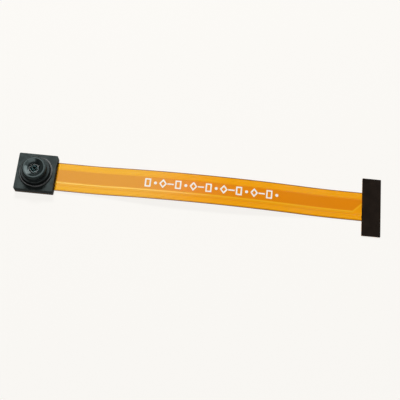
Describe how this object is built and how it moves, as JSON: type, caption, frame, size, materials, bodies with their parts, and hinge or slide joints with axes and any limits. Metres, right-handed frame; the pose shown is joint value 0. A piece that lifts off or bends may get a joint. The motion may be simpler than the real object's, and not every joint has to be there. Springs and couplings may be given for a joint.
{
  "type": "camera module",
  "caption": "Fixed-focus camera head with a threaded lens barrel on a long flexible printed ribbon that ends in a stiffened contact tab.",
  "frame": {"origin": "on the lens axis, at the back face of the camera head", "axes": "+Z along the lens axis, out of the lens; +X along the ribbon from the head to the contact tab; +Y across the ribbon"},
  "size_m": [0.075, 0.0126, 0.0043],
  "materials": {
    "holder_plastic": "fine moulded matte black",
    "barrel_plastic": "satin black",
    "black_resin": "cured adhesive",
    "amber_film": "smooth amber polyimide",
    "black_laminate": "matte black plate",
    "copper": "rolled copper foil",
    "gold_plate": "thin gold plating",
    "solder": "dull tin",
    "silicon": "polished silicon",
    "capacitor_ceramic": "fired brown ceramic",
    "clear_glass": "clear",
    "filter_glass": "pale blue-green coated glass",
    "lens_glass": "coated lens"
  },
  "bodies": {
    "root": {"rear_stiffener": "black_laminate", "back_coverlay": "amber_film", "base_film": "amber_film", "copper_traces": "copper", "top_coverlay": "amber_film", "connector_stiffener": "black_laminate", "contact_fingers": "gold_plate", "solder_pads": "copper", "solder_balls": "solder", "sensor_die": "silicon", "sensor_dam": "black_resin", "sensor_cover_glass": "clear_glass", "capacitor_bodies": "capacitor_ceramic", "capacitor_terminals": "solder", "holder_adhesive": "black_resin", "lens_holder": "holder_plastic", "ir_cut_filter": "filter_glass", "filter_adhesive": "black_resin", "thread_adhesive": "black_resin", "lens_barrel": "barrel_plastic", "front_lens": "lens_glass", "aperture_stop": "barrel_plastic", "middle_lens": "lens_glass", "front_spacer": "barrel_plastic", "rear_lens": "lens_glass", "rear_spacer": "barrel_plastic", "lens_retainer": "barrel_plastic"}
  },
  "joints": []
}
